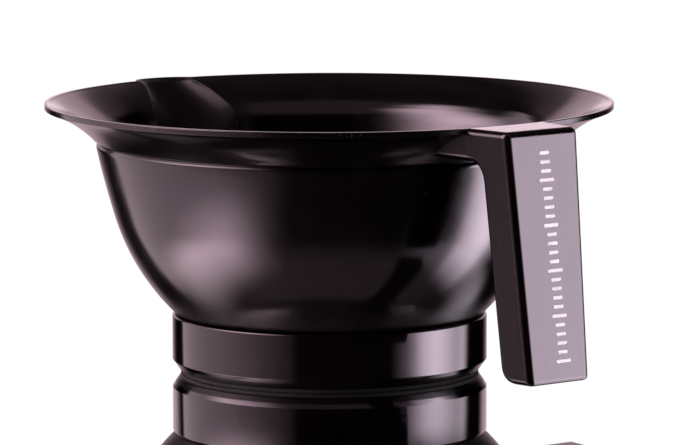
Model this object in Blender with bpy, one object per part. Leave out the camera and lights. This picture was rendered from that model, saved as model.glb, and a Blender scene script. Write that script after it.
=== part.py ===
"""Hair colour mixing bowl with a pouring spout and a hooked handle.

Metres, +Z up, standing on z = 0. The handle points along +X and the spout
along -X. The origin is the middle of the underside of the whole bounding box,
so the bowl's own axis stands at x = AXIS_X.
"""
import math

import bmesh
import bpy
from mathutils import Vector

MM = 0.001

# Bowl: a spherical basin, a straight draft above it and a flared rim.
HEIGHT = 72.7 * MM
RIM_RADIUS = 76.0 * MM
WALL = 1.6 * MM
BASIN_RADIUS = 60.0 * MM
BASIN_CENTRE_Z = 59.7 * MM
FLOOR_Z = 5.0 * MM
DRAFT_ANGLE = math.radians(12.8)
CREASE_Z = 59.8 * MM
FLARE_ARC_RADIUS = 21.1 * MM
FLARE_START_ANGLE = math.radians(34)
FLARE_END_ANGLE = math.radians(75)
RIM_THICKNESS = 1.5 * MM

# Pouring spout: a channel pressed through the flare, opposite the handle.
SPOUT_REACH = 6.0 * MM
SPOUT_CREASE_REACH = 0.6 * MM
SPOUT_CREASE_DROP = 2.2 * MM
SPOUT_LIP_DROP = 0.3 * MM
SPOUT_SAG = 1.5 * MM
SPOUT_HALF_WIDTH_RIM = 9.0 * MM
SPOUT_HALF_WIDTH_CREASE = 15.3 * MM
SPOUT_FADE = 11.0 * MM
SPOUT_EASE_ANGLE = math.radians(36)

# Foot: a collar under the basin, and the rubber ring in its underside.
FOOT_RADIUS = 42.2 * MM
FOOT_TOP_Z = 15.9 * MM
FOOT_WALL = 3.2 * MM
FOOT_BOTTOM_Z = 1.1 * MM
CHAMFER_WIDTH = 1.9 * MM
CHAMFER_HEIGHT = 2.6 * MM
FOOT_TOP_ROUND = 0.7 * MM
RUBBER_OUTER = 40.0 * MM
RUBBER_INNER = 36.6 * MM
RUBBER_UPSTAND_TOP = 5.0 * MM

# Handle: a channel section that hangs from the rim, open towards the bowl.
HANDLE_TOP_X = 88.8 * MM
HANDLE_BOTTOM_X = 96.4 * MM
HANDLE_BOTTOM_Z = 8.3 * MM
HANDLE_TOP_HALF_WIDTH = 12.0 * MM
HANDLE_BOTTOM_HALF_WIDTH = 10.1 * MM
HANDLE_SPLAY = 0.12
HANDLE_DEPTH = 10.3 * MM
HANDLE_WALL = 2.0 * MM
HANDLE_EDGE_ROUND = 0.8 * MM
WEB_HEIGHT = 8.3 * MM
WEB_ROOT_X = 58.0 * MM

# Space left between pieces that touch.
GAP = 0.3 * MM

AXIS_X = -(HANDLE_BOTTOM_X - RIM_RADIUS - SPOUT_REACH) / 2


def clear_scene():
    for obj in list(bpy.data.objects):
        bpy.data.objects.remove(obj, do_unlink=True)


def material(name, colour, roughness):
    mat = bpy.data.materials.new(name)
    mat.use_nodes = True
    shader = mat.node_tree.nodes["Principled BSDF"]
    shader.inputs["Base Color"].default_value = (*colour, 1)
    shader.inputs["Roughness"].default_value = roughness
    shader.inputs["Metallic"].default_value = 0
    return mat


def add_object(name, bm, mat):
    """Make a named object, on the bowl's axis, from a closed bmesh."""
    bmesh.ops.recalc_face_normals(bm, faces=bm.faces)
    mesh = bpy.data.meshes.new(name)
    bm.to_mesh(mesh)
    bm.free()
    mesh.shade_smooth()
    mesh.set_sharp_from_angle(angle=math.radians(30))
    mesh.materials.append(mat)
    obj = bpy.data.objects.new(name, mesh)
    obj.location = (AXIS_X, 0, 0)
    bpy.context.scene.collection.objects.link(obj)
    return obj


def arc(centre, radius, start, end, steps):
    """Points (r, z) on an arc; angles are measured from +r towards +z."""
    angles = [start + (end - start) * i / steps for i in range(steps + 1)]
    return [(centre[0] + radius * math.cos(a), centre[1] + radius * math.sin(a)) for a in angles]


def offset(points, distance):
    """Shift an open outline to its left by a distance, corner by corner."""
    moved = []
    for i, (r, z) in enumerate(points):
        r0, z0 = points[max(i - 1, 0)]
        r1, z1 = points[min(i + 1, len(points) - 1)]
        length = math.hypot(r1 - r0, z1 - z0)
        moved.append((r - (z1 - z0) / length * distance, z + (r1 - r0) / length * distance))
    return moved


def skin(columns, closed_profile):
    """Join neighbouring columns of points with quads and return the bmesh.

    An open profile starts and ends on the axis, where its quads become fans.
    """
    bm = bmesh.new()
    if closed_profile:
        grid = [[bm.verts.new(p) for p in column] for column in columns]
    else:
        first, last = bm.verts.new(columns[0][0]), bm.verts.new(columns[0][-1])
        grid = [[first, *[bm.verts.new(p) for p in column[1:-1]], last] for column in columns]
    rows = len(grid[0])
    for i, left in enumerate(grid):
        right = grid[(i + 1) % len(grid)]
        for j in range(rows if closed_profile else rows - 1):
            corners = [left[j], right[j], right[(j + 1) % rows], left[(j + 1) % rows]]
            bm.faces.new(list(dict.fromkeys(corners)))
    return bm


def turned(profile, segments, closed_profile=True):
    """A turned piece from an outline of (r, z) points."""
    columns = []
    for i in range(segments):
        a = 2 * math.pi * i / segments
        columns.append([Vector((r * math.cos(a), r * math.sin(a), z)) for r, z in profile])
    return skin(columns, closed_profile)


# ---- bowl ---------------------------------------------------------------

def basin_outline(lift=0.0):
    """Outside of the basin, from the floor's edge to just under the crease."""
    floor_angle = math.asin((FLOOR_Z - BASIN_CENTRE_Z) / BASIN_RADIUS)
    points = arc((0, BASIN_CENTRE_Z), BASIN_RADIUS + lift, floor_angle, -DRAFT_ANGLE, 11)
    draft_r, draft_z = points[-1]
    for k in (0.25, 0.5, 0.75, 1):
        rise = (CREASE_Z - draft_z) * k
        points.append((draft_r + rise * math.tan(DRAFT_ANGLE), draft_z + rise))
    return points


def flare_outline():
    """Outside of the flare, from the crease to the lower edge of the rim."""
    end_r = RIM_RADIUS - 0.1 * MM
    end_z = HEIGHT - RIM_THICKNESS
    centre = (end_r + FLARE_ARC_RADIUS * math.cos(FLARE_END_ANGLE),
              end_z - FLARE_ARC_RADIUS * math.sin(FLARE_END_ANGLE))
    start = math.pi - FLARE_START_ANGLE
    end = math.pi - FLARE_END_ANGLE
    return arc(centre, FLARE_ARC_RADIUS, start, end, 8)


def spout_share(reach):
    """How far up the flare a point lies: 0 at the crease, 1 at the rim."""
    flare_length = FLARE_ARC_RADIUS * (FLARE_END_ANGLE - FLARE_START_ANGLE)
    return min(max(reach / flare_length, 0), 1)


def spout_shift(reach):
    """Outward and upward shift of the spout's valley.

    reach is the distance along the wall from the crease: positive up the
    flare to the rim, negative down the basin, where the spout fades out.
    """
    if reach < 0:
        k = min(-reach / SPOUT_FADE, 1)
        fade = 1 - k * k * (3 - 2 * k)
        return SPOUT_CREASE_REACH * fade, -SPOUT_CREASE_DROP * fade
    k = spout_share(reach)
    out = SPOUT_CREASE_REACH * (1 - k) + SPOUT_REACH * k
    drop = SPOUT_CREASE_DROP * (1 - k) + SPOUT_LIP_DROP * k + SPOUT_SAG * 4 * k * (1 - k)
    return out, -drop


def spout_half_angle(reach):
    """Half of the angle that the spout covers at a distance from the crease."""
    k = spout_share(reach)
    at_crease = SPOUT_HALF_WIDTH_CREASE / flare_outline()[0][0]
    at_rim = SPOUT_HALF_WIDTH_RIM / RIM_RADIUS
    return at_crease * (1 - k) + at_rim * k


def bowl_profile():
    """Wall points from the outer pole over the rim to the inner pole.

    Each one is (r, z, reach), where reach places it relative to the crease.
    """
    basin = basin_outline()
    flare = flare_outline()
    outer = basin + flare
    inner = offset(outer, WALL)
    crease = len(basin)
    reach = [0.0] * len(outer)
    for i in range(crease + 1, len(outer)):
        reach[i] = reach[i - 1] + math.dist(outer[i], outer[i - 1])
    for i in range(crease - 1, -1, -1):
        reach[i] = reach[i + 1] - math.dist(outer[i], outer[i + 1])
    top_reach = reach[-1]
    inner[-1] = (inner[-1][0], HEIGHT - 0.05 * MM)
    lip = [(RIM_RADIUS, HEIGHT - RIM_THICKNESS + 0.3 * MM, top_reach),
           (RIM_RADIUS, HEIGHT - 0.35 * MM, top_reach),
           (RIM_RADIUS - 0.3 * MM, HEIGHT, top_reach)]
    outer_points = [(r, z, s) for (r, z), s in zip(outer, reach)]
    inner_points = [(r, z, s) for (r, z), s in zip(inner, reach)]
    inner_points[0] = (inner_points[0][0], FLOOR_Z + WALL, reach[0])
    middle = [(0, FLOOR_Z, -1.0), *outer_points, *lip]
    return middle + inner_points[::-1] + [(0, FLOOR_Z + WALL, -1.0)]


def bowl_columns():
    """Columns round the bowl as (angle, share, place), from the spout's middle.

    A column lies at angle plus share times the spout's half angle, so the
    columns in the spout follow its folds and the others ease back to even
    steps. place runs from -1 at one fold to 1 at the other.
    """
    spout_steps, ease_steps, plain_steps = 14, 4, 48
    places = [-1 + 2 * i / spout_steps for i in range(spout_steps + 1)]
    shares = [i / ease_steps for i in range(1, ease_steps + 1)]
    plain_span = 2 * (math.pi - SPOUT_EASE_ANGLE)
    spout = [(0, place, place) for place in places]
    ease = [(SPOUT_EASE_ANGLE * k, 1 - k, 1) for k in shares]
    plain = [(SPOUT_EASE_ANGLE + plain_span * i / plain_steps, 0, 1) for i in range(1, plain_steps)]
    return spout + ease + plain + [(-angle, -share, -1) for angle, share, _ in ease[::-1]]


def build_bowl(mat):
    profile = bowl_profile()
    columns = []
    for fixed_angle, share, place in bowl_columns():
        depth = 1 - place * place
        points = []
        for r, z, reach in profile:
            out, up = spout_shift(reach)
            angle = math.pi + fixed_angle + share * spout_half_angle(reach)
            radius = r + out * depth
            points.append(Vector((radius * math.cos(angle), radius * math.sin(angle), z + up * depth)))
        columns.append(points)
    return add_object("bowl_shell", skin(columns, False), mat)


# ---- foot ---------------------------------------------------------------

def basin_seat(inner_r):
    """Inside of the collar where it follows the basin, from inner_r upwards."""
    lifted = BASIN_RADIUS + GAP
    low_z = BASIN_CENTRE_Z - math.sqrt(lifted ** 2 - inner_r ** 2)
    heights = [low_z + (FOOT_TOP_Z - low_z) * k for k in (0, 0.5, 1)]
    return [(math.sqrt(lifted ** 2 - (BASIN_CENTRE_Z - z) ** 2), z) for z in heights]


def build_foot_ring(mat):
    inner_r = FOOT_RADIUS - FOOT_WALL
    round_centre = (FOOT_RADIUS - FOOT_TOP_ROUND, FOOT_TOP_Z - FOOT_TOP_ROUND)
    profile = [
        (inner_r, FOOT_BOTTOM_Z),
        (FOOT_RADIUS - CHAMFER_WIDTH, FOOT_BOTTOM_Z),
        (FOOT_RADIUS, FOOT_BOTTOM_Z + CHAMFER_HEIGHT),
        *arc(round_centre, FOOT_TOP_ROUND, 0, math.pi / 2, 3),
        *basin_seat(inner_r)[::-1],
    ]
    return add_object("foot_ring", turned(profile, 80), mat)


def build_nonslip_ring(mat):
    upstand_r = FOOT_RADIUS - FOOT_WALL - GAP
    flange_z = FOOT_BOTTOM_Z - GAP
    profile = [
        (RUBBER_INNER, 0),
        (RUBBER_OUTER - 0.3 * MM, 0),
        (RUBBER_OUTER, 0.25 * MM),
        (RUBBER_OUTER, flange_z),
        (upstand_r, flange_z),
        (upstand_r, RUBBER_UPSTAND_TOP),
        (RUBBER_INNER, RUBBER_UPSTAND_TOP),
    ]
    return add_object("nonslip_ring", turned(profile, 72), mat)


# ---- handle -------------------------------------------------------------

def face_x(z):
    """Distance of the handle's outer face from the bowl's axis."""
    k = (z - HANDLE_BOTTOM_Z) / (HEIGHT - HANDLE_BOTTOM_Z)
    return HANDLE_BOTTOM_X + (HANDLE_TOP_X - HANDLE_BOTTOM_X) * k


def half_width(x, z):
    """Half of the handle's width, which narrows outwards and downwards."""
    k = (z - HANDLE_BOTTOM_Z) / (HEIGHT - HANDLE_BOTTOM_Z)
    at_face = HANDLE_BOTTOM_HALF_WIDTH + (HANDLE_TOP_HALF_WIDTH - HANDLE_BOTTOM_HALF_WIDTH) * k
    return at_face + HANDLE_SPLAY * (face_x(z) - x)


def rounded(corners):
    """An outline with each corner (x, z, radius) rounded off by a curve."""
    points = []
    for i, (x, z, radius) in enumerate(corners):
        here = Vector((x, z))
        to_last = (Vector(corners[i - 1][:2]) - here).normalized()
        to_next = (Vector(corners[(i + 1) % len(corners)][:2]) - here).normalized()
        if radius == 0:
            points.append(here)
            continue
        half = to_last.angle(to_next) / 2
        reach = radius / math.tan(half)
        start = here + to_last * reach
        end = here + to_next * reach
        steps = max(2, round(radius / MM))
        for j in range(steps + 1):
            t = j / steps
            points.append(start.lerp(here, t).lerp(here.lerp(end, t), t))
    return points


def slab(outline, inset):
    """A bmesh of the outline, as wide as the handle less an inset a side."""
    bm = bmesh.new()
    sides = []
    for sign in (-1, 1):
        sides.append([bm.verts.new((x, sign * (half_width(x, z) - inset), z)) for x, z in outline])
    for side in sides:
        bm.faces.new(side)
    for i in range(len(outline)):
        j = (i + 1) % len(outline)
        bm.faces.new((sides[0][i], sides[0][j], sides[1][j], sides[1][i]))
    bmesh.ops.recalc_face_normals(bm, faces=bm.faces)
    return bm


def handle_outline():
    web_z = HEIGHT - WEB_HEIGHT
    inner_top_x = face_x(web_z) - HANDLE_DEPTH
    inner_bottom_x = HANDLE_BOTTOM_X - HANDLE_DEPTH
    return rounded([
        (WEB_ROOT_X, HEIGHT, 0),
        (HANDLE_TOP_X, HEIGHT, 1.0 * MM),
        (HANDLE_BOTTOM_X, HANDLE_BOTTOM_Z, 0.8 * MM),
        (inner_bottom_x, HANDLE_BOTTOM_Z, 5.0 * MM),
        (inner_top_x, web_z, 6.0 * MM),
        (WEB_ROOT_X, web_z, 0),
    ])


def channel_outline():
    """Inside of the channel, run out past the handle's open side."""
    top_z = HEIGHT - HANDLE_WALL
    bottom_z = HANDLE_BOTTOM_Z + HANDLE_WALL
    open_x = WEB_ROOT_X - 8 * MM
    return rounded([
        (open_x, top_z, 0),
        (face_x(top_z) - HANDLE_WALL, top_z, 0.8 * MM),
        (face_x(bottom_z) - HANDLE_WALL, bottom_z, 0.8 * MM),
        (open_x, bottom_z, 0),
    ])


def bowl_clearance():
    """The turned space that the bowl takes up, with the gap added."""
    outer = basin_outline(GAP) + offset(flare_outline(), -GAP)
    rim_r = RIM_RADIUS + GAP
    above = HEIGHT + 5 * MM
    profile = [(0, FLOOR_Z), *outer[:-1], (rim_r, outer[-1][1]), (rim_r, above), (0, above)]
    return turned(profile, 120, closed_profile=False)


def cut(obj, bm, name):
    """Subtract a closed bmesh from an object with a Boolean modifier."""
    cutter = add_object(name, bm, obj.data.materials[0])
    cutter.hide_render = True
    cutter.display_type = "WIRE"
    modifier = obj.modifiers.new(name, "BOOLEAN")
    modifier.operation = "DIFFERENCE"
    modifier.solver = "EXACT"
    modifier.object = cutter


def build_handle(mat):
    bm = slab(handle_outline(), 0)
    long_edges = [e for e in bm.edges if abs(e.verts[0].co.y - e.verts[1].co.y) < 5 * MM]
    bmesh.ops.bevel(bm, geom=long_edges, offset=HANDLE_EDGE_ROUND, segments=2,
                    profile=0.5, affect="EDGES", clamp_overlap=True)
    handle = add_object("handle", bm, mat)
    cut(handle, slab(channel_outline(), HANDLE_WALL), "handle_channel_cutter")
    cut(handle, bowl_clearance(), "handle_bowl_cutter")
    return handle


def main():
    clear_scene()
    gloss = material("gloss_black_plastic", (0.012, 0.009, 0.011), 0.12)
    satin = material("satin_black_plastic", (0.016, 0.012, 0.014), 0.3)
    rubber = material("black_rubber", (0.01, 0.01, 0.01), 0.75)
    build_bowl(gloss)
    build_handle(satin)
    build_foot_ring(gloss)
    build_nonslip_ring(rubber)


main()
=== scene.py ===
import math

import bmesh
import bpy
from mathutils import Matrix, Vector


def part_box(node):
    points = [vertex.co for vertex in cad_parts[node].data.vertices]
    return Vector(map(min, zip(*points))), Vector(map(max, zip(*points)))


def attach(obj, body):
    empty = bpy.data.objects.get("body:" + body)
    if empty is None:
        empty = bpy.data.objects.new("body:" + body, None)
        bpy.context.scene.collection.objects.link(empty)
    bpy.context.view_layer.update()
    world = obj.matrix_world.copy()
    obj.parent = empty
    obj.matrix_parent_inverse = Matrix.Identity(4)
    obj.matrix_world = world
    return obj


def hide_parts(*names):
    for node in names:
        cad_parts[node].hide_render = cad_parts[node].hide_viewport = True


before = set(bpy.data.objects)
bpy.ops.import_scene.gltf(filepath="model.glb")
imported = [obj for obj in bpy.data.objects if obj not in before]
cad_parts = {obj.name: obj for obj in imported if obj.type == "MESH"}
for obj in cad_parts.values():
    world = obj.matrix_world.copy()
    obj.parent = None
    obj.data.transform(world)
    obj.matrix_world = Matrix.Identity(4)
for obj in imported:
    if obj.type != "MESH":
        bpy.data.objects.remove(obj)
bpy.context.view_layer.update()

MM = 0.001

# ---- sizes read from the frame ---------------------------------------------------------

shell_low, shell_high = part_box("bowl_shell")
collar_low, collar_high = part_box("foot_ring")
rubber_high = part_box("nonslip_ring")[1]
handle_low, handle_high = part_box("handle")

RIM_RADIUS = shell_high.y
AXIS_X = shell_high.x - RIM_RADIUS
HEIGHT = shell_high.z
FLOOR_Z = shell_low.z
SPOUT_REACH = AXIS_X - shell_low.x - RIM_RADIUS

FOOT_RADIUS = collar_high.y
FOOT_TOP_Z = collar_high.z
FOOT_BOTTOM_Z = collar_low.z
RUBBER_OUTER = rubber_high.y
RUBBER_TOP_Z = rubber_high.z

HANDLE_BOTTOM_X = handle_high.x - AXIS_X
HANDLE_BOTTOM_Z = handle_low.z

# ---- the bowl's section ----------------------------------------------------------------

WALL = 1.6 * MM
BASIN_RADIUS = 60.0 * MM
BASIN_CENTRE_Z = 59.7 * MM
CREASE_Z = 61.2 * MM

# Above the sphere, the inside of the side is straight. The outside leans by more than that at
# its foot and by less at its top, so it bulges, but it ends where a straight side would.
DRAFT_ANGLE = math.radians(14.5)
SIDE_LOW_ANGLE = math.radians(17.0)
SIDE_TOP_ANGLE = math.radians(12.3)

# The flare is an arc that ends at the rim; its angles say how far its wall leans outwards.
FLARE_ARC_RADIUS = 31.1 * MM
FLARE_START_ANGLE = math.radians(41)
FLARE_END_ANGLE = math.radians(71.9)
FLARE_END_INSET = 0.1 * MM

# The rim's edge is an upright face with a round below, one above and a flat lip inside.
RIM_THICKNESS = 1.5 * MM
RIM_LOW_ROUND = 0.12 * MM
RIM_HIGH_ROUND = 0.32 * MM
RIM_LIP_WIDTH = 0.9 * MM
RIM_LIP_ROUND = 0.5 * MM
RIM_LOW_DROP = 0.02 * MM

# The basin's top edge stands a little proud of the flare, with a fine groove above it.
EDGE_ROUND = 2.0 * MM
GROOVE_DEPTH = 0.45 * MM
GROOVE_RISE = 0.85 * MM
GROOVE_ROUND = 0.1 * MM
INNER_CREASE_ROUND = 10.0 * MM

# The spout's valley is pushed out and down, and fades below the crease and past its folds.
SPOUT_CREASE_REACH = 0.6 * MM
SPOUT_CREASE_DROP = 2.2 * MM
SPOUT_LIP_DROP = 0.3 * MM
SPOUT_SAG = 1.5 * MM
SPOUT_HALF_WIDTH_RIM = 9.0 * MM
SPOUT_HALF_WIDTH_CREASE = 15.3 * MM
SPOUT_FADE = 11.0 * MM
SPOUT_EASE_ANGLE = math.radians(36)
SPOUT_MARGIN = 1.16
SPOUT_TAIL = 0.6
FOLD_SOFTNESS = 0.03

# The mark of the mould's gate, in the middle of the underside.
GATE_RADIUS = 2.2 * MM
GATE_SLOPE = 0.3 * MM
GATE_RECESS = 0.35 * MM

# ---- the sizes of the foot and the rubber ring -----------------------------------------

FOOT_WALL = 3.2 * MM
CHAMFER_WIDTH = 1.9 * MM
CHAMFER_HEIGHT = 2.6 * MM
FOOT_TOP_ROUND = 0.7 * MM
FOOT_EDGE_ROUND = 0.35 * MM
SEAT_GAP = 0.08 * MM
RUBBER_INNER = 36.6 * MM
RUBBER_GROOVES = 3
RUBBER_GROOVE_DEPTH = 0.25 * MM
RUBBER_INNER_BEVEL = 0.15 * MM
RUBBER_OUTER_BEVEL = 0.3 * MM
RUBBER_BEVEL_MIDDLE = 0.08 * MM

# ---- the handle's sizes ----------------------------------------------------------------

HANDLE_TOP_X = 88.8 * MM
HANDLE_TOP_HALF_WIDTH = 12.0 * MM
HANDLE_BOTTOM_HALF_WIDTH = 10.1 * MM
HANDLE_DEPTH = 10.3 * MM
HANDLE_WALL = 2.0 * MM
HANDLE_EDGE_ROUND = 1.9 * MM
HANDLE_EDGE_STEPS = 8
TOP_FRONT_ROUND = 2.0 * MM
LOW_FRONT_ROUND = 1.2 * MM
LOW_INNER_ROUND = 5.0 * MM
WEB_ROUND = 6.0 * MM
CHANNEL_ROUND = 0.8 * MM
WEB_HEIGHT = 8.3 * MM
WEB_ROOT_X = 58.0 * MM

# Half of the handle's width grows by this much for each unit of length towards the bowl.
HANDLE_SPLAY = 0.12

# How deep the handle reaches into the bowl's wall, and into the rim's edge.
WELD = 0.15 * MM
RIM_WELD = 0.25 * MM


# ---- mesh helpers ----------------------------------------------------------------------

def new_object(name, bm):
    """A new object in the scene, with the bmesh as its mesh."""
    mesh = bpy.data.meshes.new(name)
    bm.to_mesh(mesh)
    bm.free()
    obj = bpy.data.objects.new(name, mesh)
    bpy.context.scene.collection.objects.link(obj)
    return obj


def closed_object(name, bm):
    """A new object whose faces all point outwards."""
    bmesh.ops.recalc_face_normals(bm, faces=bm.faces)
    return new_object(name, bm)


def apply_modifier(obj, kind, **settings):
    """Change an object's mesh with a modifier."""
    modifier = obj.modifiers.new(kind.lower(), kind)
    for key, value in settings.items():
        setattr(modifier, key, value)
    depsgraph = bpy.context.evaluated_depsgraph_get()
    mesh = bpy.data.meshes.new_from_object(obj.evaluated_get(depsgraph))
    obj.modifiers.clear()
    obj.data = mesh


def add_piece(name, bm, mat, replaces, sharp=35):
    """Make a named piece, on the bowl's axis, that stands for a node of the frame."""
    obj = closed_object(name, bm)
    obj.data.transform(Matrix.Translation((AXIS_X, 0, 0)))
    obj.data.shade_smooth()
    obj.data.set_sharp_from_angle(angle=math.radians(sharp))
    obj.data.materials.append(mat)
    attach(obj, "root")
    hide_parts(replaces)
    return obj


def arc(centre, radius, start, end, steps):
    """Points (r, z) on an arc; angles are measured from +r towards +z."""
    angles = [start + (end - start) * i / steps for i in range(steps + 1)]
    return [(centre[0] + radius * math.cos(a), centre[1] + radius * math.sin(a)) for a in angles]


def line(start, end, steps):
    """Points between two points, without the points themselves."""
    return [(start[0] + (end[0] - start[0]) * i / steps,
             start[1] + (end[1] - start[1]) * i / steps) for i in range(1, steps)]


def round_corner(before, corner, after, radius, steps=5):
    """A smooth curve that replaces the corner between two straight stretches."""
    corner = Vector(corner)
    to_before = (Vector(before) - corner).normalized()
    to_after = (Vector(after) - corner).normalized()
    reach = radius / math.tan(to_before.angle(to_after) / 2)
    start = corner + to_before * reach
    end = corner + to_after * reach
    points = []
    for i in range(steps + 1):
        t = i / steps
        p = start.lerp(corner, t).lerp(corner.lerp(end, t), t)
        points.append((p.x, p.y))
    return points


def skin(columns, closed_profile):
    """Join neighbouring columns of points with quads and return the bmesh.

    An open profile starts and ends on the axis, where its quads become fans.
    """
    bm = bmesh.new()
    if closed_profile:
        grid = [[bm.verts.new(p) for p in column] for column in columns]
    else:
        first, last = bm.verts.new(columns[0][0]), bm.verts.new(columns[0][-1])
        grid = [[first, *[bm.verts.new(p) for p in column[1:-1]], last] for column in columns]
    rows = len(grid[0])
    for i, left in enumerate(grid):
        right = grid[(i + 1) % len(grid)]
        for j in range(rows if closed_profile else rows - 1):
            corners = [left[j], right[j], right[(j + 1) % rows], left[(j + 1) % rows]]
            bm.faces.new(list(dict.fromkeys(corners)))
    return bm


def turned(profile, segments, closed_profile=True):
    """A turned piece from an outline of (r, z) points."""
    columns = []
    for i in range(segments):
        a = 2 * math.pi * i / segments
        columns.append([Vector((r * math.cos(a), r * math.sin(a), z)) for r, z in profile])
    return skin(columns, closed_profile)


# ---- bowl ------------------------------------------------------------------------------

def flare_centre():
    """Centre of the flare's outer arc, which lies outside the bowl."""
    end_r = RIM_RADIUS - FLARE_END_INSET
    end_z = HEIGHT - RIM_THICKNESS
    return (end_r + FLARE_ARC_RADIUS * math.cos(FLARE_END_ANGLE),
            end_z - FLARE_ARC_RADIUS * math.sin(FLARE_END_ANGLE))


def flare_arc(inset, start_angle, steps):
    """The flare's outside, or its inside when inset is the wall's thickness."""
    return arc(flare_centre(), FLARE_ARC_RADIUS + inset,
               math.pi - start_angle, math.pi - FLARE_END_ANGLE, steps)


def basin_arc(inset, low_z, steps, end_angle=DRAFT_ANGLE):
    """The basin's sphere from a height up to where its wall leans by the end angle."""
    radius = BASIN_RADIUS - inset
    start = math.asin((low_z - BASIN_CENTRE_Z) / radius)
    return arc((0, BASIN_CENTRE_Z), radius, start, -end_angle, steps)


def draft_point(top_of_arc, z):
    """The point on the straight draft at a height."""
    return (top_of_arc[0] + (z - top_of_arc[1]) * math.tan(DRAFT_ANGLE), z)


def meeting_point(low, low_lean, high, high_lean):
    """Where two lines meet that lean outwards, one up from low and one down from high."""
    low_slope, high_slope = math.tan(low_lean), math.tan(high_lean)
    rise = (high[0] - low[0] - (high[1] - low[1]) * high_slope) / (low_slope - high_slope)
    return (low[0] + rise * low_slope, low[1] + rise)


def bulge(start, middle, end, steps):
    """Points between start and end on a soft curve that heads for the middle point first."""
    points = []
    for i in range(1, steps):
        k = i / steps
        shares = (start, (1 - k) ** 2), (middle, 2 * k * (1 - k)), (end, k * k)
        points.append(tuple(sum(share * point[j] for point, share in shares) for j in (0, 1)))
    return points


def outer_outline():
    """Outside of the wall, from the edge of the flat underside to the rim."""
    edge = draft_point(basin_arc(0, FLOOR_Z, 2)[-1], CREASE_Z)
    basin = basin_arc(0, FLOOR_Z, 40, SIDE_LOW_ANGLE)
    middle = meeting_point(basin[-1], SIDE_LOW_ANGLE, edge, SIDE_TOP_ANGLE)
    flare = flare_arc(0, FLARE_START_ANGLE, 26)
    groove = (edge[0] - GROOVE_DEPTH, edge[1] + GROOVE_RISE)
    top_edge = round_corner(middle, edge, groove, EDGE_ROUND, 10)
    dip = round_corner(edge, groove, flare[2], GROOVE_ROUND, 5)
    return [*basin, *bulge(basin[-1], middle, top_edge[0], 12), *top_edge, *dip, *flare[2:]]


def inner_outline():
    """Inside of the wall, from the edge of the flat floor to the rim."""
    basin = basin_arc(WALL, FLOOR_Z + WALL, 36)
    flare = flare_arc(WALL, FLARE_START_ANGLE, 26)
    corner = draft_point(basin[-1], flare[0][1])
    bend = round_corner(basin[-1], corner, flare[6], INNER_CREASE_ROUND, 16)
    above = [point for point in flare if point[1] > bend[-1][1] + 0.3 * MM]
    return [*basin, *line(basin[-1], bend[0], 8), *bend, *above]


def rim_outline(outer_end, inner_end):
    """The rim's edge: an upright face and a flat lip, with small rounds at their ends."""
    low = (RIM_RADIUS, outer_end[1] - RIM_LOW_DROP)
    high = (RIM_RADIUS, HEIGHT)
    inside = (RIM_RADIUS - RIM_LIP_WIDTH, HEIGHT)
    return [*round_corner(outer_end, low, high, RIM_LOW_ROUND, 4),
            *round_corner(low, high, inside, RIM_HIGH_ROUND, 6),
            *round_corner(high, inside, inner_end, RIM_LIP_ROUND, 4)]


def with_reach(points, crease_z):
    """Add each point's distance along the wall from the crease, negative below it."""
    crease = min(range(len(points)), key=lambda i: abs(points[i][1] - crease_z))
    reach = [0.0] * len(points)
    for i in range(crease + 1, len(points)):
        reach[i] = reach[i - 1] + math.dist(points[i], points[i - 1])
    for i in range(crease - 1, -1, -1):
        reach[i] = reach[i + 1] - math.dist(points[i], points[i + 1])
    return [(r, z, s) for (r, z), s in zip(points, reach)]


def bowl_profile():
    """Wall points (r, z, reach) from the outer pole over the rim to the inner pole."""
    outer = with_reach(outer_outline(), CREASE_Z)
    inner = with_reach(inner_outline(), CREASE_Z)
    lip = [(r, z, outer[-1][2]) for r, z in rim_outline(outer[-1][:2], inner[-2][:2])]
    # The spout doesn't reach the middle of the floor, whatever the distance along the wall.
    far_down = -1.0
    gate_z = FLOOR_Z + GATE_RECESS
    floor_z = FLOOR_Z + WALL
    halfway = GATE_RADIUS * 4
    gate = [(0, gate_z, far_down), (GATE_RADIUS - GATE_SLOPE, gate_z, far_down),
            (GATE_RADIUS, FLOOR_Z, far_down), (halfway, FLOOR_Z, far_down)]
    floor = [(halfway, floor_z, far_down), (0, floor_z, far_down)]
    return gate + outer + lip + inner[-2::-1] + floor


def spout_share(reach):
    """How far up the flare a point lies: 0 at the crease, 1 at the rim."""
    flare_length = FLARE_ARC_RADIUS * (FLARE_END_ANGLE - FLARE_START_ANGLE)
    return min(max(reach / flare_length, 0), 1)


def spout_shift(reach):
    """Outward and upward shift of the spout's valley at a reach from the crease."""
    if reach < 0:
        k = min(-reach / SPOUT_FADE, 1)
        fade = 1 - k * k * (3 - 2 * k)
        return SPOUT_CREASE_REACH * fade, -SPOUT_CREASE_DROP * fade
    k = spout_share(reach)
    out = SPOUT_CREASE_REACH * (1 - k) + SPOUT_REACH * k
    drop = SPOUT_CREASE_DROP * (1 - k) + SPOUT_LIP_DROP * k + SPOUT_SAG * 4 * k * (1 - k)
    return out, -drop


def spout_half_angle(reach):
    """Half of the angle that the spout covers at a reach from the crease."""
    k = spout_share(reach)
    at_crease = SPOUT_HALF_WIDTH_CREASE / flare_arc(0, FLARE_START_ANGLE, 1)[0][0]
    at_rim = SPOUT_HALF_WIDTH_RIM / RIM_RADIUS
    return at_crease * (1 - k) + at_rim * k


def spout_depth(place):
    """1 in the middle of the spout, fading to 0 past its softly rounded folds."""
    q = 1 - abs(place) ** 3
    soft = (q + math.sqrt(q * q + FOLD_SOFTNESS ** 2)) / 2
    full = (1 + math.sqrt(1 + FOLD_SOFTNESS ** 2)) / 2
    tail = min(max(1 - (abs(place) - 1) / SPOUT_TAIL, 0), 1)
    return soft / full * tail


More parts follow.
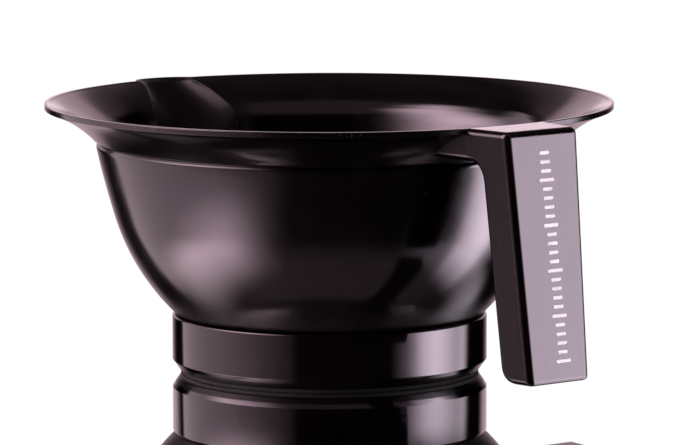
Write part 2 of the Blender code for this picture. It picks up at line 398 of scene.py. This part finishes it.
def bowl_columns():
    """Columns round the bowl as (angle, share) from the middle of the spout.

    A column lies at angle plus share times the spout's half angle, so columns
    follow the spout's folds, and the others ease back to even steps.
    """
    spout_steps, ease_steps, plain_steps = 108, 20, 204
    spout = [(0, SPOUT_MARGIN * (-1 + 2 * i / spout_steps)) for i in range(spout_steps + 1)]
    ease = [(SPOUT_EASE_ANGLE * i / ease_steps, SPOUT_MARGIN * (1 - i / ease_steps))
            for i in range(1, ease_steps + 1)]
    plain_span = 2 * (math.pi - SPOUT_EASE_ANGLE)
    plain = [(SPOUT_EASE_ANGLE + plain_span * i / plain_steps, 0) for i in range(1, plain_steps)]
    return spout + ease + plain + [(-angle, -share) for angle, share in ease[::-1]]


def build_bowl(mat):
    """Basin, flare and rim in one turned wall, with the spout pushed out of it."""
    profile = bowl_profile()
    columns = []
    for fixed_angle, share in bowl_columns():
        points = []
        for r, z, reach in profile:
            out, up = spout_shift(reach)
            half = spout_half_angle(reach)
            turn = fixed_angle + share * half
            depth = spout_depth(turn / half)
            angle = math.pi + turn
            radius = r + out * depth
            points.append(Vector((radius * math.cos(angle), radius * math.sin(angle), z + up * depth)))
        columns.append(points)
    return add_piece("bowl", skin(columns, False), mat, "bowl_shell")


# ---- foot ------------------------------------------------------------------------------

def build_collar(mat):
    """The collar under the basin: chamfered below, and hollow to seat the basin's sphere."""
    inner_r = FOOT_RADIUS - FOOT_WALL
    bottom_r = FOOT_RADIUS - CHAMFER_WIDTH
    shoulder = (FOOT_RADIUS, FOOT_BOTTOM_Z + CHAMFER_HEIGHT)
    top_centre = (FOOT_RADIUS - FOOT_TOP_ROUND, FOOT_TOP_Z - FOOT_TOP_ROUND)
    seat = BASIN_RADIUS + SEAT_GAP
    seat_low = BASIN_CENTRE_Z - math.sqrt(seat ** 2 - inner_r ** 2)
    heights = [FOOT_TOP_Z + (seat_low - FOOT_TOP_Z) * i / 6 for i in range(7)]
    profile = [
        (inner_r, FOOT_BOTTOM_Z),
        *round_corner((inner_r, FOOT_BOTTOM_Z), (bottom_r, FOOT_BOTTOM_Z), shoulder, FOOT_EDGE_ROUND),
        *round_corner((bottom_r, FOOT_BOTTOM_Z), shoulder, (FOOT_RADIUS, FOOT_TOP_Z), FOOT_EDGE_ROUND),
        *arc(top_centre, FOOT_TOP_ROUND, 0, math.pi / 2, 8),
        *[(math.sqrt(seat ** 2 - (BASIN_CENTRE_Z - z) ** 2), z) for z in heights],
    ]
    return add_piece("collar", turned(profile, 256), mat, "foot_ring")


def build_rubber(mat):
    """The rubber ring, with fine grooves in the face that it stands on."""
    upstand_r = FOOT_RADIUS - FOOT_WALL - SEAT_GAP
    flange_z = FOOT_BOTTOM_Z - SEAT_GAP
    ground = []
    pitch = (RUBBER_OUTER - RUBBER_OUTER_BEVEL - RUBBER_INNER) / (2 * RUBBER_GROOVES + 1)
    for i in range(RUBBER_GROOVES):
        r = RUBBER_INNER + pitch * (2 * i + 1)
        ground += [(r, 0), (r + pitch * 0.25, RUBBER_GROOVE_DEPTH),
                   (r + pitch * 0.75, RUBBER_GROOVE_DEPTH), (r + pitch, 0)]
    profile = [
        (RUBBER_INNER, RUBBER_INNER_BEVEL),
        (RUBBER_INNER + RUBBER_INNER_BEVEL, 0),
        *ground,
        (RUBBER_OUTER - RUBBER_OUTER_BEVEL, 0),
        (RUBBER_OUTER - RUBBER_BEVEL_MIDDLE, RUBBER_BEVEL_MIDDLE),
        (RUBBER_OUTER, RUBBER_OUTER_BEVEL),
        (RUBBER_OUTER, flange_z),
        (upstand_r, flange_z),
        (upstand_r, RUBBER_TOP_Z),
        (RUBBER_INNER, RUBBER_TOP_Z),
    ]
    return add_piece("rubber_ring", turned(profile, 192), mat, "nonslip_ring", 25)


# ---- handle ----------------------------------------------------------------------------

def face_x(z):
    """Distance of the handle's outer face from the bowl's axis."""
    k = (z - HANDLE_BOTTOM_Z) / (HEIGHT - HANDLE_BOTTOM_Z)
    return HANDLE_BOTTOM_X + (HANDLE_TOP_X - HANDLE_BOTTOM_X) * k


def half_width(x, z):
    """Half of the handle's width, which narrows outwards and downwards."""
    k = (z - HANDLE_BOTTOM_Z) / (HEIGHT - HANDLE_BOTTOM_Z)
    at_face = HANDLE_BOTTOM_HALF_WIDTH + (HANDLE_TOP_HALF_WIDTH - HANDLE_BOTTOM_HALF_WIDTH) * k
    return at_face + HANDLE_SPLAY * (face_x(z) - x)


def moved_in(corners, inset):
    """The corners of an outline that lies inside the first one, side by side with it."""
    moved = []
    for i, (x, z, radius) in enumerate(corners):
        here = Vector((x, z))
        arriving = (here - Vector(corners[i - 1][:2])).normalized()
        leaving = (Vector(corners[(i + 1) % len(corners)][:2]) - here).normalized()
        inward = Vector((arriving.y + leaving.y, -arriving.x - leaving.x))
        place = here + inward * inset / (1 + arriving.dot(leaving))
        bends_in = arriving.x * leaving.y - arriving.y * leaving.x > 0
        new_radius = radius + inset if bends_in else max(radius - inset, 0.05 * MM)
        moved.append((place.x, place.y, new_radius if radius else 0))
    return moved


def rounded(corners, steps):
    """An outline with each corner (x, z, radius) rounded off by a curve."""
    points = []
    for i, (x, z, radius) in enumerate(corners):
        if radius == 0:
            points.append((x, z))
            continue
        after = corners[(i + 1) % len(corners)]
        points += round_corner(corners[i - 1][:2], (x, z), after[:2], radius, steps)
    return points


def slab(corners, narrower, edge_round, steps):
    """A slab with the rounded outline, narrower than the handle by a length on each side."""
    rings = []
    for sign in (-1, 1):
        for i in range(HANDLE_EDGE_STEPS + 1):
            k = i if sign < 0 else HANDLE_EDGE_STEPS - i
            turn = math.pi / 2 * k / HANDLE_EDGE_STEPS
            inset = edge_round * (1 - math.sin(turn))
            depth = narrower + edge_round * (1 - math.cos(turn))
            outline = rounded(moved_in(corners, inset), steps)
            rings.append([(x, sign * (half_width(x, z) - depth), z) for x, z in outline])
            if edge_round == 0:
                break
    bm = bmesh.new()
    loops = [[bm.verts.new(point) for point in ring] for ring in rings]
    bm.faces.new(loops[0])
    bm.faces.new(loops[-1])
    for near, far in zip(loops, loops[1:]):
        for i in range(len(near)):
            j = (i + 1) % len(near)
            bm.faces.new((near[i], near[j], far[j], far[i]))
    return bm


def handle_corners():
    """Outline of the handle's side, from the web's root round the face and back."""
    web_z = HEIGHT - WEB_HEIGHT
    inner_top_x = face_x(web_z) - HANDLE_DEPTH
    inner_bottom_x = HANDLE_BOTTOM_X - HANDLE_DEPTH
    return [
        (WEB_ROOT_X, HEIGHT, 0),
        (HANDLE_TOP_X, HEIGHT, TOP_FRONT_ROUND),
        (HANDLE_BOTTOM_X, HANDLE_BOTTOM_Z, LOW_FRONT_ROUND),
        (inner_bottom_x, HANDLE_BOTTOM_Z, LOW_INNER_ROUND),
        (inner_top_x, web_z, WEB_ROUND),
        (WEB_ROOT_X, web_z, 0),
    ]


def channel_corners():
    """Inside of the channel, run out past the handle's open side."""
    top_z = HEIGHT - HANDLE_WALL
    bottom_z = HANDLE_BOTTOM_Z + HANDLE_WALL
    open_x = WEB_ROOT_X - 8 * MM
    return [
        (open_x, top_z, 0),
        (face_x(top_z) - HANDLE_WALL, top_z, CHANNEL_ROUND),
        (face_x(bottom_z) - HANDLE_WALL, bottom_z, CHANNEL_ROUND),
        (open_x, bottom_z, 0),
    ]


def bowl_clearance():
    """What is cut off the handle: all inside the bowl's outer surface, less the weld."""
    basin = basin_arc(WELD, FLOOR_Z, 24)
    flare = flare_arc(WELD, FLARE_START_ANGLE, 24)
    rim_r = RIM_RADIUS - RIM_WELD
    above = HEIGHT + 5 * MM
    crease = draft_point(basin[-1], CREASE_Z)
    rim = [(rim_r, flare[-1][1]), (rim_r, above)]
    return turned([(0, FLOOR_Z), *basin, crease, *flare[:-1], *rim, (0, above)], 512, closed_profile=False)


def subtract(obj, bm):
    """Cut a closed bmesh out of an object."""
    cutter = closed_object("cutter", bm)
    apply_modifier(obj, "BOOLEAN", operation="DIFFERENCE", solver="EXACT", object=cutter)
    bpy.data.objects.remove(cutter)


def build_handle(mat):
    """The hooked channel of the handle, cut to the bowl's surface."""
    block = closed_object("handle_block", slab(handle_corners(), 0, HANDLE_EDGE_ROUND, 14))
    subtract(block, slab(channel_corners(), HANDLE_WALL, 0, 6))
    subtract(block, bowl_clearance())
    bm = bmesh.new()
    bm.from_mesh(block.data)
    bpy.data.objects.remove(block)
    handle = add_piece("hook_handle", bm, mat, "handle")
    # Large flat faces set the normals at their edges, so that they shade flat.
    apply_modifier(handle, "WEIGHTED_NORMAL", keep_sharp=True, weight=90)
    return handle


# ---- camera ----------------------------------------------------------------------------

CAMERA_AZIMUTH = math.radians(52.5)
CAMERA_DISTANCE = 1.4
CAMERA_HEIGHT = 0.22111
CAMERA_PITCH = math.radians(7.3727)
CAMERA_YAW = math.radians(0.1270)
CAMERA_ROLL = math.radians(-0.1023)
SENSOR_WIDTH = 36
FOCAL_LENGTH = 278.05


def build_camera():
    """A long lens, a little above the rim, 1.4 m from the bowl's axis."""
    towards_camera = Vector((math.sin(CAMERA_AZIMUTH), -math.cos(CAMERA_AZIMUTH), 0))
    right = Vector((math.cos(CAMERA_AZIMUTH), math.sin(CAMERA_AZIMUTH), 0))
    up = Vector((0, 0, 1))
    ahead = right * math.sin(CAMERA_YAW) - towards_camera * math.cos(CAMERA_YAW)
    forward = ahead * math.cos(CAMERA_PITCH) - up * math.sin(CAMERA_PITCH)
    side = forward.cross(up).normalized()
    top = side.cross(forward)
    rolled_side = side * math.cos(CAMERA_ROLL) + top * math.sin(CAMERA_ROLL)
    rolled_top = top * math.cos(CAMERA_ROLL) - side * math.sin(CAMERA_ROLL)
    data = bpy.data.cameras.new("camera")
    data.sensor_width = SENSOR_WIDTH
    data.lens = FOCAL_LENGTH
    data.clip_end = 20
    camera = bpy.data.objects.new("camera", data)
    matrix = Matrix((rolled_side, rolled_top, -forward)).transposed().to_4x4()
    matrix.translation = Vector((AXIS_X, 0, 0)) + towards_camera * CAMERA_DISTANCE + up * CAMERA_HEIGHT
    camera.matrix_world = matrix
    bpy.context.scene.collection.objects.link(camera)
    bpy.context.scene.camera = camera


# ---- materials -------------------------------------------------------------------------

BOWL_COLOURS = (0.0007, 0.0003, 0.0005), (0.0013, 0.0007, 0.0010)
HANDLE_COLOURS = (0.0010, 0.0005, 0.0007), (0.0016, 0.0009, 0.0012)
MARK_COLOUR = (0.10, 0.085, 0.095)
RUBBER_COLOURS = (0.004, 0.004, 0.004), (0.012, 0.011, 0.011)
INK_COLOURS = (0.85, 0.85, 0.85), (0.74, 0.74, 0.74)

# The plastic's roughness goes up from its gloss by the haze, and by more on lines and marks.
HAZE_RANGE = 0.055
HAIRLINE_ROUGHNESS = 0.18
MARK_ROUGHNESS = 0.3

PEEL_HEIGHT = 0.0012 * MM
HAIRLINE_DEPTH = 0.002 * MM
CHIP_DEPTH = 0.01 * MM
RUBBER_GRAIN_HEIGHT = 0.03 * MM
INK_GRAIN_HEIGHT = 0.01 * MM

# Specular levels, and what the plastic's loses where one piece is mirrored in another.
PLASTIC_SHINE = 0.5
MIRRORED_LOSS = 0.45
RUBBER_SHINE = 0.15
PLASTIC_TINT = (1.0, 0.9, 0.97, 1)
PLASTIC_IOR = 1.5


class Nodes:
    """A short way to add and join shader nodes in one tree."""

    def __init__(self, tree):
        self.tree = tree

    def connect(self, node, inputs):
        """Set a node's inputs, each to another node's output or to a plain value."""
        for key, value in inputs.items():
            if isinstance(value, bpy.types.NodeSocket):
                self.tree.links.new(value, node.inputs[key])
            else:
                node.inputs[key].default_value = value

    def add(self, kind, inputs=None, **settings):
        """A new node with its settings and inputs."""
        node = self.tree.nodes.new("ShaderNode" + kind)
        for key, value in settings.items():
            setattr(node, key, value)
        self.connect(node, inputs or {})
        return node

    def math(self, operation, a, b=0.0):
        """One step of arithmetic on one or two values."""
        return self.add("Math", {0: a, 1: b}, operation=operation).outputs[0]

    def times(self, product, *others):
        """The product of all the values."""
        for value in others:
            product = self.math("MULTIPLY", product, value)
        return product

    def plus(self, total, *others):
        """The sum of all the values."""
        for value in others:
            total = self.math("ADD", total, value)
        return total

    def ramp(self, value, low, high, start=0.0, end=1.0):
        """start below low, end above high and a smooth step between them."""
        inputs = {"Value": value, "From Min": low, "From Max": high, "To Min": start, "To Max": end}
        return self.add("MapRange", inputs, interpolation_type="SMOOTHSTEP").outputs[0]

    def window(self, value, low, high, soft):
        """1 between low and high, 0 outside, with soft edges."""
        return self.times(self.ramp(value, low - soft, low + soft),
                          self.ramp(value, high - soft, high + soft, 1.0, 0.0))

    def xyz(self, vector):
        """The outputs X, Y and Z of a vector."""
        return self.add("SeparateXYZ", {0: vector}).outputs

    def noise(self, vector, scale, detail=3.0, roughness=0.5):
        """Cloudy noise from 0 to 1."""
        inputs = {"Vector": vector, "Scale": scale, "Detail": detail, "Roughness": roughness}
        return self.add("TexNoise", inputs).outputs["Fac"]

    def stretched(self, vector, rotation, scale):
        """A vector turned and scaled, so that a pattern on it becomes lines."""
        inputs = {"Vector": vector, "Rotation": rotation, "Scale": scale}
        return self.add("Mapping", inputs).outputs[0]

    def mix_colour(self, factor, a, b):
        """Colour a where the factor is 0 and colour b where it is 1."""
        a, b = (colour if isinstance(colour, bpy.types.NodeSocket) else (*colour, 1) for colour in (a, b))
        # A Mix node has sockets for several kinds of value; 6, 7 and output 2 are the colours.
        return self.add("Mix", {0: factor, 6: a, 7: b}, data_type="RGBA").outputs[2]

    def bump(self, height, distance, normal=None):
        """A normal that a height bends, on top of another normal if one is given."""
        inputs = {"Height": height, "Distance": distance}
        if normal is not None:
            inputs["Normal"] = normal
        return self.add("Bump", inputs).outputs[0]


def new_material(name):
    """A new material with its shader, its nodes and the place on the surface."""
    mat = bpy.data.materials.new(name)
    mat.use_nodes = True
    nodes = Nodes(mat.node_tree)
    place = nodes.add("TexCoord").outputs["Object"]
    return mat, mat.node_tree.nodes["Principled BSDF"], nodes, place


def scratches(nodes, place, rotation, density, length):
    """Fine straight scratches in one direction, 1 on a scratch and 0 beside it."""
    lines = nodes.stretched(place, rotation, (density, density, density / length))
    fine = nodes.window(nodes.noise(lines, 1.0, 1.0), 0.5, 0.506, 0.004)
    patchy = nodes.ramp(nodes.noise(place, 90.0, 2.0), 0.56, 0.66)
    return nodes.times(fine, patchy)


def radial_distance(nodes, place):
    """Distance from the bowl's axis, and height above the floor."""
    parts = nodes.xyz(place)
    x = nodes.math("SUBTRACT", parts["X"], AXIS_X)
    squares = nodes.plus(nodes.times(x, x), nodes.times(parts["Y"], parts["Y"]))
    return nodes.math("SQRT", squares), parts["Z"]


def rim_chips(nodes, place, radius, height):
    """1 on the small chips along the rim's edge and 0 elsewhere."""
    outermost = nodes.ramp(radius, RIM_RADIUS - 1.2 * MM, RIM_RADIUS - 0.5 * MM)
    highest = nodes.ramp(height, HEIGHT - 2.0 * MM, HEIGHT - 1.4 * MM)
    chips = nodes.ramp(nodes.noise(place, 900.0, 3.0, 0.6), 0.60, 0.68)
    return nodes.times(chips, nodes.times(outermost, highest))


def dust_specks(nodes, place):
    """1 on sparse round specks of dust and 0 elsewhere."""
    distance = nodes.add("TexVoronoi", {"Vector": place, "Scale": 260.0}).outputs["Distance"]
    sparse = nodes.ramp(nodes.noise(place, 120.0, 1.0), 0.62, 0.66)
    return nodes.times(nodes.ramp(distance, 0.05, 0.03), sparse)


def foot_haze(nodes, radius, height):
    """Roughness that the basin gains towards the collar, where it is less polished."""
    near_foot = nodes.ramp(height, FOOT_TOP_Z + 2.0 * MM, FOOT_TOP_Z + 9.0 * MM, 0.16, 0.0)
    on_basin = nodes.times(nodes.math("GREATER_THAN", height, FOOT_TOP_Z + 0.2 * MM),
                           nodes.math("LESS_THAN", radius, BASIN_RADIUS))
    return nodes.times(near_foot, on_basin)


def dull_areas(nodes, place, height, satin_sides):
    """Areas duller than the rest, as (mask, roughness that it adds, share of shine that it keeps)."""
    parts = nodes.xyz(place)
    far_out = nodes.ramp(parts["X"], AXIS_X - 58.0 * MM, AXIS_X - 52.0 * MM, 1.0, 0.0)
    near_middle = nodes.ramp(nodes.math("ABSOLUTE", parts["Y"]), 13.0 * MM, 22.0 * MM, 1.0, 0.0)
    in_spout = nodes.times(far_out, near_middle)
    # Of the plastic, only the collar's underside and the lower part of its chamfer are this low.
    scuffed = nodes.ramp(height, CHAMFER_HEIGHT - 0.2 * MM, CHAMFER_HEIGHT + 0.1 * MM, 1.0, 0.0)
    areas = [(in_spout, 0.24, 0.5), (scuffed, 0.15, 0.2)]
    if satin_sides:
        facing_y = nodes.xyz(nodes.add("NewGeometry").outputs["True Normal"])["Y"]
        side = nodes.ramp(nodes.math("ABSOLUTE", facing_y), 0.93, 0.98)
        upright_lines = nodes.stretched(place, (0, 0, 0), (900.0, 900.0, 60.0))
        grain = nodes.ramp(nodes.noise(upright_lines, 1.0, 3.0), 0.3, 0.7, 0.10, 0.22)
        areas.append((side, grain, 0.27))
    return areas


def polished_plastic(name, colours, gloss, satin_sides=False):
    """Polished plum-black plastic: haze, orange peel, hairlines, dust and a worn rim.

    With satin_sides, surfaces that face along Y are left duller by the mould.
    """
    mat, shader, nodes, place = new_material(name)
    radius, height = radial_distance(nodes, place)

    dark, light = colours
    cloud = nodes.noise(place, 28.0, 4.0, 0.6)
    plastic = nodes.mix_colour(nodes.ramp(cloud, 0.35, 0.7), dark, light)
    chips = rim_chips(nodes, place, radius, height)
    marks = nodes.math("MAXIMUM", nodes.times(chips, 0.15), dust_specks(nodes, place))
    shader.inputs["Base Color"].default_value = (*dark, 1)
    colour = nodes.mix_colour(marks, plastic, MARK_COLOUR)

    hairlines = nodes.math("MAXIMUM", scratches(nodes, place, (0.3, 0.5, 0.2), 2600.0, 60.0),
                           scratches(nodes, place, (1.2, 0.1, 0.9), 3100.0, 45.0))
    haze = nodes.ramp(nodes.noise(place, 55.0, 5.0, 0.65), 0.35, 0.75, gloss, gloss + HAZE_RANGE)
    rough = nodes.plus(haze, nodes.times(hairlines, HAIRLINE_ROUGHNESS),
                       nodes.times(marks, MARK_ROUGHNESS), foot_haze(nodes, radius, height))
    # One piece mirrored in another shows less than the lights do, but the floor mirrors it in full.
    path = nodes.add("LightPath").outputs
    off_piece = nodes.times(path["Is Glossy Ray"], nodes.math("SUBTRACT", 1.0, path["Is Singular Ray"]))
    shine = nodes.math("SUBTRACT", PLASTIC_SHINE, nodes.times(off_piece, MIRRORED_LOSS))
    for mask, roughness_added, shine_kept in dull_areas(nodes, place, height, satin_sides):
        rough = nodes.plus(rough, nodes.times(mask, roughness_added))
        shine = nodes.times(shine, nodes.ramp(mask, 0.0, 1.0, 1.0, shine_kept))

    orange_peel = nodes.bump(nodes.noise(place, 420.0, 2.0), PEEL_HEIGHT)
    scratched = nodes.bump(hairlines, -HAIRLINE_DEPTH, orange_peel)
    chipped = nodes.bump(chips, -CHIP_DEPTH, scratched)
    nodes.connect(shader, {"Base Color": colour, "Roughness": rough, "Normal": chipped,
                           "Specular IOR Level": shine, "Specular Tint": PLASTIC_TINT, "IOR": PLASTIC_IOR})
    return mat


def moulded_rubber():
    """Matte rubber with a fine grain and a little pale dust."""
    mat, shader, nodes, place = new_material("black_rubber")
    grain = nodes.noise(place, 2200.0, 4.0, 0.7)
    cloud = nodes.noise(place, 70.0, 3.0)
    nodes.connect(shader, {"Base Color": nodes.mix_colour(nodes.ramp(cloud, 0.4, 0.8), *RUBBER_COLOURS),
                           "Roughness": nodes.ramp(cloud, 0.3, 0.7, 0.55, 0.75),
                           "Normal": nodes.bump(grain, RUBBER_GRAIN_HEIGHT),
                           "Specular IOR Level": RUBBER_SHINE})
    return mat


def white_ink():
    """Screen-printed ink with a slightly uneven film."""
    mat, shader, nodes, place = new_material("white_ink")
    film = nodes.noise(place, 700.0, 3.0, 0.6)
    nodes.connect(shader, {"Base Color": nodes.mix_colour(nodes.ramp(film, 0.3, 0.75), *INK_COLOURS),
                           "Roughness": nodes.ramp(film, 0.3, 0.7, 0.35, 0.5),
                           "Normal": nodes.bump(film, INK_GRAIN_HEIGHT)})
    return mat


# ---- print on the handle ---------------------------------------------------------------

PRINT_LOW_Z = 14.0 * MM
PRINT_HIGH_Z = 68.0 * MM
PRINT_LIFT = 0.03 * MM
BAR_PITCH = 2.3 * MM
BAR_HALF_HEIGHT = 0.42 * MM
BAR_HALF_LENGTH = 1.6 * MM
LONG_BAR_HALF_LENGTH = 2.4 * MM
LONG_BAR_EVERY = 5
BAR_CORNER_STEPS = 4


def add_bar(bm, left, right, low, high):
    """One rounded bar of ink, as a thin closed slab that follows the face."""
    radius = min(right - left, high - low) / 2
    corners = [(right - radius, high - radius), (left + radius, high - radius),
               (left + radius, low + radius), (right - radius, low + radius)]
    outline = []
    for quarter, centre in enumerate(corners):
        start = math.radians(90 * quarter)
        outline += arc(centre, radius, start, start + math.pi / 2, BAR_CORNER_STEPS)
    bottom, top = ([bm.verts.new((face_x(z) + lift, y, z)) for y, z in outline]
                   for lift in (-PRINT_LIFT, PRINT_LIFT))
    bm.faces.new(bottom[::-1])
    bm.faces.new(top)
    for i in range(len(outline)):
        j = (i + 1) % len(outline)
        bm.faces.new((bottom[i], bottom[j], top[j], top[i]))


def build_print(mat):
    """A plain ladder of short bars, a little proud of the handle's face."""
    bm = bmesh.new()
    count = int((PRINT_HIGH_Z - PRINT_LOW_Z) / BAR_PITCH)
    for i in range(count + 1):
        z = PRINT_LOW_Z + BAR_PITCH * i
        centre = HANDLE_TOP_HALF_WIDTH - half_width(face_x(z), z)
        half = BAR_HALF_LENGTH if i % LONG_BAR_EVERY else LONG_BAR_HALF_LENGTH
        add_bar(bm, centre - half, centre + half, z - BAR_HALF_HEIGHT, z + BAR_HALF_HEIGHT)
    obj = new_object("handle_print", bm)
    obj.data.transform(Matrix.Translation((AXIS_X, 0, 0)))
    obj.data.materials.append(mat)
    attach(obj, "root")
    return obj


# ---- studio ----------------------------------------------------------------------------

# The floor lies just under the rubber ring, so that their faces don't coincide.
FLOOR_SIZE = 60
FLOOR_DROP = 0.05 * MM

# Each light's brightness is multiplied by one of these.
ROSY = (1.13, 0.88, 0.97)
PLAIN = (1.03, 0.91, 1.02)
BLUSH = (1.12, 0.80, 0.90)

BACKGROUND = (1.04, 1.04, 1.04)


class Sky(Nodes):
    """The world's nodes, with where a ray goes, in degrees, and what it came off."""

    def __init__(self, tree):
        super().__init__(tree)
        ray = self.xyz(self.add("TexCoord").outputs["Generated"])
        sin_a, cos_a = math.sin(CAMERA_AZIMUTH), math.cos(CAMERA_AZIMUTH)
        front = self.math("SUBTRACT", self.times(ray["X"], sin_a), self.times(ray["Y"], cos_a))
        right = self.plus(self.times(ray["X"], cos_a), self.times(ray["Y"], sin_a))
        degrees = 180 / math.pi
        # Azimuth is measured from the camera's side, positive to the right. A light below the
        # horizon mirrors the one above it, so only the steepness of a ray counts.
        self.azimuth = self.times(self.math("ARCTAN2", right, front), degrees)
        self.steep = self.math("ABSOLUTE", self.times(self.math("ARCSINE", ray["Z"]), degrees))
        self.path = self.add("LightPath").outputs
        # The floor is the only perfect mirror.
        self.off_floor = self.path["Is Singular Ray"]
        self.not_off_floor = self.math("SUBTRACT", 1.0, self.off_floor)

    def box(self, turn, turn_soft, lift, lift_soft, azimuth=None):
        """A light between two azimuths and two steepnesses, with soft edges."""
        azimuth = self.azimuth if azimuth is None else azimuth
        across = self.window(azimuth, turn[0], turn[1], turn_soft)
        return self.times(across, self.window(self.steep, lift[0], lift[1], lift_soft))


def left_lights(sky):
    """A wide wall that fades towards the front, and a lamp above it."""
    wall_power = sky.ramp(sky.azimuth, -95.0, -15.0, 1.55, 0.12)
    wall_end = sky.ramp(sky.azimuth, -31.0, -21.0, 1.0, 0.0)
    wall = sky.times(sky.box(turn=(-136, 0), turn_soft=2, lift=(-10, 36), lift_soft=5),
                     sky.times(wall_power, wall_end))
    # The lamp stands close, so it's seen lower from the bowl than from the floor.
    far_right = sky.math("POWER", sky.ramp(sky.azimuth, -72.0, -18.0, 1.0, 0.0), 2.2)
    far_across = sky.times(sky.ramp(sky.azimuth, -142.0, -84.0), far_right)
    far_upright = sky.times(sky.ramp(sky.steep, 28.5, 40.0), sky.ramp(sky.steep, 36.0, 61.0, 1.0, 0.0))
    far_lamp = sky.times(far_across, far_upright, sky.off_floor)
    near_box = sky.box(turn=(-96, -50), turn_soft=20, lift=(15, 61), lift_soft=5)
    near_lamp = sky.times(near_box, sky.not_off_floor)
    return [(wall, ROSY), (sky.times(sky.plus(far_lamp, near_lamp), 8.5), ROSY)]


def right_lights(sky):
    """A bright strip on a wide wall, a hood above them and a skirt in front of them."""
    # The strip and the wall lean, so their near edge stands further right where they are high.
    leaning = sky.math("SUBTRACT", sky.azimuth, sky.ramp(sky.steep, 10.0, 28.0, 0.0, 15.0))
    # They're cut off above a low height for glossy rays that don't come off the floor.
    seen_whole = sky.math("MAXIMUM", sky.off_floor, sky.path["Is Diffuse Ray"])
    low_enough = sky.math("MAXIMUM", seen_whole, sky.ramp(sky.steep, 10.0, 16.0, 1.0, 0.0))
    power = sky.times(low_enough, sky.ramp(seen_whole, 0.0, 1.0, 0.86, 1.12))
    strip_box = sky.box(turn=(69, 95), turn_soft=13, lift=(-10, 37), lift_soft=8, azimuth=leaning)
    strip = sky.times(strip_box, power, 6.6)
    far_edge = sky.plus(sky.azimuth, sky.ramp(sky.steep, 10.0, 28.0, 0.0, 10.0))
    wall_end = sky.ramp(far_edge, 113.0, 123.0, 1.0, 0.0)
    wall_box = sky.box(turn=(68, 150), turn_soft=4, lift=(-10, 46), lift_soft=8, azimuth=leaning)
    wall = sky.times(wall_box, power, wall_end, 4.3)
    hood_upright = sky.times(sky.ramp(sky.steep, 34.0, 39.0), sky.ramp(sky.steep, 42.0, 52.0, 1.0, 0.0))
    hood = sky.times(hood_upright, sky.ramp(sky.azimuth, 40.0, 86.0, 0.0, 1.6), sky.off_floor)
    skirt_box = sky.box(turn=(0, 68), turn_soft=3, lift=(-10, 14), lift_soft=4)
    skirt = sky.times(sky.ramp(sky.azimuth, 44.0, 70.0, 0.0, 2.6), skirt_box)
    return [(strip, PLAIN), (wall, PLAIN), (hood, PLAIN), (skirt, PLAIN)]


def back_lights(sky):
    """A dim backdrop, brighter low down and in its middle, and a faint ceiling."""
    turned_away = sky.math("ABSOLUTE", sky.azimuth)
    behind = sky.math("SUBTRACT", 180.0, turned_away)
    low = sky.ramp(sky.steep, 20.0, 24.0, 1.1, 0.0)
    high = sky.ramp(sky.steep, 27.0, 43.0, 0.28, 0.02)
    far_back = sky.times(sky.ramp(behind, 6.0, 30.0, 0.45, 0.0), sky.off_floor)
    near_back = sky.times(sky.ramp(behind, 26.0, 40.0, 0.63, 0.0), sky.not_off_floor)
    backdrop = sky.times(sky.plus(far_back, near_back), sky.plus(high, low))
    middle = sky.times(sky.ramp(behind, 2.0, 4.5, 0.52, 0.0), sky.not_off_floor, low)
    ceiling = sky.times(sky.ramp(turned_away, 60.0, 130.0, 0.24, 0.04), sky.ramp(sky.steep, 38.0, 52.0))
    return [(middle, PLAIN), (backdrop, BLUSH), (ceiling, ROSY)]


def build_world():
    """Soft lights round the set, with plain white where the camera sees past the bowl."""
    world = bpy.data.worlds.new("studio")
    bpy.context.scene.world = world
    world.use_nodes = True
    sky = Sky(world.node_tree)
    parts = [sky.add("VectorMath", {0: tint, "Scale": light}, operation="SCALE").outputs[0]
             for light, tint in left_lights(sky) + right_lights(sky) + back_lights(sky)]
    total = parts[0]
    for part in parts[1:]:
        total = sky.add("VectorMath", {0: total, 1: part}, operation="ADD").outputs[0]
    # A world shader counts one bounce more than was made.
    one_bounce = sky.math("LESS_THAN", sky.path["Ray Depth"], 2.5)
    white = sky.math("MAXIMUM", sky.path["Is Camera Ray"], sky.times(sky.off_floor, one_bounce))
    sky.connect(world.node_tree.nodes["Background"], {"Color": sky.mix_colour(white, total, BACKGROUND)})


def build_floor():
    """A mirror-like pale floor that turns plainer when it is looked at from above."""
    bpy.ops.mesh.primitive_plane_add(size=FLOOR_SIZE, location=(0, 0, -FLOOR_DROP))
    floor = bpy.context.object
    floor.name = "floor"
    mat = bpy.data.materials.new("pale_floor")
    mat.use_nodes = True
    nodes = Nodes(mat.node_tree)
    mirror = nodes.add("BsdfGlossy", {"Color": (0.97, 0.97, 0.97, 1), "Roughness": 0.0}).outputs[0]
    plain = nodes.add("Emission", {"Color": (1, 1, 1, 1), "Strength": 1.0}).outputs[0]
    facing = nodes.add("LayerWeight", {"Blend": 0.5}).outputs["Facing"]
    seen = nodes.add("LightPath").outputs["Is Camera Ray"]
    veil = nodes.times(nodes.ramp(facing, 0.50, 0.80, 0.72, 0.0), seen)
    mixed = nodes.add("MixShader", {0: veil, 1: mirror, 2: plain}).outputs[0]
    nodes.connect(mat.node_tree.nodes["Material Output"], {"Surface": mixed})
    floor.data.materials.append(mat)


def main():
    """Build the pieces, then the camera, the floor and the lights."""
    build_bowl(polished_plastic("bowl_plastic", BOWL_COLOURS, gloss=0.125))
    build_collar(polished_plastic("collar_plastic", BOWL_COLOURS, gloss=0.075))
    build_rubber(moulded_rubber())
    build_handle(polished_plastic("handle_plastic", HANDLE_COLOURS, gloss=0.11, satin_sides=True))
    build_print(white_ink())
    build_camera()
    build_floor()
    build_world()
    scene = bpy.context.scene
    scene.view_settings.view_transform = "Standard"
    scene.cycles.max_bounces = 12
    scene.cycles.glossy_bounces = 8


main()
